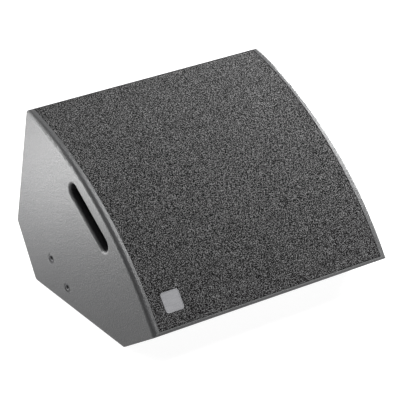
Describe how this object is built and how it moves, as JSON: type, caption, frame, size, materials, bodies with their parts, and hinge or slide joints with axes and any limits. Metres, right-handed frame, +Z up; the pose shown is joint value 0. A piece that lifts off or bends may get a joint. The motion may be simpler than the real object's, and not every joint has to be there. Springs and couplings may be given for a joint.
{
  "type": "stage monitor wedge",
  "caption": "Floor stage monitor wedge with a curved foam front over a steel grille, hand slots and threaded inserts in both sides, and a coaxial driver inside.",
  "frame": {"origin": "on the floor, under the middle of the cabinet's bounding box", "axes": "+X to the right seen from the front, +Y to the rear, +Z up"},
  "size_m": [0.58, 0.5202, 0.3928],
  "materials": {
    "painted_plywood": "fine textured impact-resistant paint, dark grey, satin",
    "black_plywood": "matt black stain on birch plywood",
    "birch_plywood": "bare birch plywood",
    "acoustic_foam": "open-cell reticulated foam, charcoal",
    "grille_steel": "perforated sheet steel, powder coated",
    "badge_metal": "satin anodised, blank",
    "moulded_plastic": "moulded, fine grain",
    "black_screws": "black oxide",
    "zinc_steel": "bright zinc plate",
    "foot_rubber": "moulded rubber",
    "cast_basket": "die cast, black painted",
    "surround_cloth": "impregnated cloth",
    "gasket_foam": "closed-cell foam",
    "cone_paper": "pressed paper pulp",
    "coil_former": "glass fibre and polyimide",
    "copper_wire": "enamelled copper wire",
    "motor_steel": "turned, zinc plated",
    "magnet_alloy": "sintered, coated",
    "dome_metal": "pressed foil",
    "dish_steel": "pressed sheet, powder coated",
    "circuit_board": "glass-epoxy board, green resist",
    "capacitor_film": "film capacitor sleeve",
    "resistor_cement": "cement body",
    "terminal_plastic": "green terminal block",
    "lead_insulation": "black sheath",
    "wadding_fleece": "polyester fleece"
  },
  "bodies": {
    "cabinet": {"badge_plate": "badge_metal", "baffle_battens": "birch_plywood", "baffle_board": "black_plywood", "basket": "cast_basket", "board_capacitors": "capacitor_film", "board_inductors": "copper_wire", "board_resistors": "resistor_cement", "board_standoffs": "zinc_steel", "board_terminals": "terminal_plastic", "bottom_panel": "painted_plywood", "connector_dish": "dish_steel", "crossover_board": "circuit_board", "dish_screws": "black_screws", "driver_bolts": "black_screws", "driver_gasket": "gasket_foam", "foot_screws": "zinc_steel", "front_foam": "acoustic_foam", "front_sill": "painted_plywood", "grille": "grille_steel", "grille_rails": "birch_plywood", "grille_screws": "black_screws", "handle_cup_screws": "black_screws", "horn": "moulded_plastic", "input_leads": "lead_insulation", "insert_blocks": "birch_plywood", "left_handle_cup": "moulded_plastic", "left_port_tube": "moulded_plastic", "left_side_panel": "painted_plywood", "lower_rear_panel": "painted_plywood", "magnet_ring": "magnet_alloy", "phase_plug": "moulded_plastic", "pole_piece": "motor_steel", "rear_panel": "painted_plywood", "right_handle_cup": "moulded_plastic", "right_port_tube": "moulded_plastic", "right_side_panel": "painted_plywood", "rubber_feet": "foot_rubber", "socket_contacts": "zinc_steel", "socket_screws": "black_screws", "speaker_sockets": "moulded_plastic", "spider": "surround_cloth", "surround": "surround_cloth", "tee_nuts": "zinc_steel", "threaded_inserts": "black_screws", "top_plate": "motor_steel", "tweeter_front_plate": "motor_steel", "tweeter_lead": "lead_insulation", "tweeter_magnet": "magnet_alloy", "tweeter_rear_cover": "moulded_plastic", "tweeter_suspension": "coil_former", "tweeter_terminals": "zinc_steel", "tweeter_top_plate": "motor_steel", "wadding": "wadding_fleece", "woofer_lead": "lead_insulation", "woofer_terminals": "zinc_steel"},
    "woofer_cone": {"cone": "cone_paper", "voice_coil_former": "coil_former", "voice_coil_winding": "copper_wire"},
    "tweeter_diaphragm": {"tweeter_dome": "dome_metal", "tweeter_coil": "copper_wire"}
  },
  "joints": [
    {"name": "woofer_stroke", "type": "slide", "parent": "cabinet", "child": "woofer_cone", "axis": [0, -0.5592, 0.829], "range_m": [-0.006, 0.006], "stiffness_N_per_m": 6000, "deforming": ["surround", "spider"]},
    {"name": "tweeter_stroke", "type": "slide", "parent": "cabinet", "child": "tweeter_diaphragm", "axis": [0, -0.5592, 0.829], "range_m": [-0.0003, 0.0003], "stiffness_N_per_m": 500, "deforming": ["tweeter_suspension"]}
  ]
}
